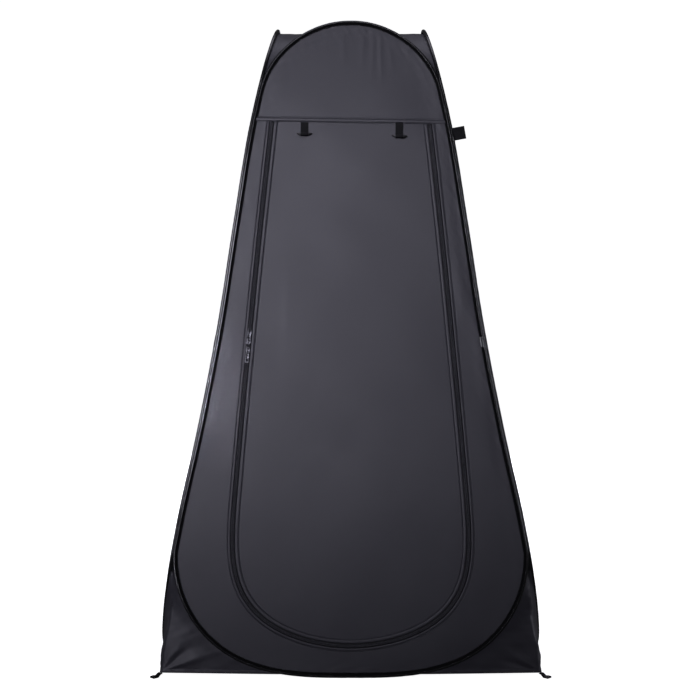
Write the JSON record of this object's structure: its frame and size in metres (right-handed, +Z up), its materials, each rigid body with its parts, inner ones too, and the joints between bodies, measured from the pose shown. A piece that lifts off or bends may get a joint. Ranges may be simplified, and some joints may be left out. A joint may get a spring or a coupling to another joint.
{
  "type": "shower tent",
  "caption": "Pop-up privacy shower tent: four sprung hoops, leaning cloth walls, a roof and a U-shaped zipped door flap.",
  "frame": {"origin": "on the ground, under the middle of the tent", "axes": "+Z up; the front wall with the door faces -Y; +X is to the right for someone facing the door"},
  "size_m": [1.1448, 1.1448, 1.8993],
  "materials": {
    "tent_cloth": "coated polyester, soft satin",
    "sleeve_cloth": "folded binding over a spring hoop",
    "zip_tape": "woven tape with a coil",
    "zip_metal": "dark painted, glossy",
    "webbing": "ribbed webbing",
    "toggle_plastic": "moulded, satin"
  },
  "bodies": {
    "shell": {"back_hoop_sleeve": "sleeve_cloth", "back_left_gusset_back": "tent_cloth", "back_left_gusset_side": "tent_cloth", "back_left_peg_loop": "webbing", "back_right_gusset_back": "tent_cloth", "back_right_gusset_side": "tent_cloth", "back_right_peg_loop": "webbing", "back_wall": "tent_cloth", "corner_webbing_tab": "webbing", "front_header": "tent_cloth", "front_hoop_sleeve": "sleeve_cloth", "front_left_gusset_front": "tent_cloth", "front_left_gusset_side": "tent_cloth", "front_left_jamb_high": "tent_cloth", "front_left_jamb_low": "tent_cloth", "front_left_jamb_middle": "tent_cloth", "front_left_peg_loop": "webbing", "front_right_gusset_front": "tent_cloth", "front_right_gusset_side": "tent_cloth", "front_right_jamb_high": "tent_cloth", "front_right_jamb_low": "tent_cloth", "front_right_jamb_middle": "tent_cloth", "front_right_peg_loop": "webbing", "front_sill": "tent_cloth", "header_seam_band": "tent_cloth", "left_hoop_sleeve": "sleeve_cloth", "left_wall": "tent_cloth", "right_hoop_sleeve": "sleeve_cloth", "right_wall": "tent_cloth", "roof": "tent_cloth", "zip_outer_half": "zip_tape"},
    "door": {"door_flap": "tent_cloth", "zip_door_half": "zip_tape", "upper_zip_slider": "zip_metal", "lower_zip_slider": "zip_metal", "left_tie_strap": "webbing", "right_tie_strap": "webbing", "left_toggle": "toggle_plastic", "right_toggle": "toggle_plastic"},
    "upper_pull": {"upper_zip_pull": "zip_metal"},
    "lower_pull": {"lower_zip_pull": "zip_metal"}
  },
  "joints": [
    {"name": "door_swing", "type": "hinge", "parent": "shell", "child": "door", "pos_m": [0, -0.29363, 1.59189], "axis": [-1, 0, 0], "range_deg": [0, 100]},
    {"name": "upper_pull_turn", "type": "hinge", "parent": "door", "child": "upper_pull", "pos_m": [-0.29663, -0.39699, 0.95532], "axis": [0.9959, -0.0154, -0.0888], "range_deg": [0, 100]},
    {"name": "lower_pull_turn", "type": "hinge", "parent": "door", "child": "lower_pull", "pos_m": [-0.2996, -0.40278, 0.92234], "axis": [-0.996, 0.0156, 0.0877], "range_deg": [0, 100]}
  ]
}
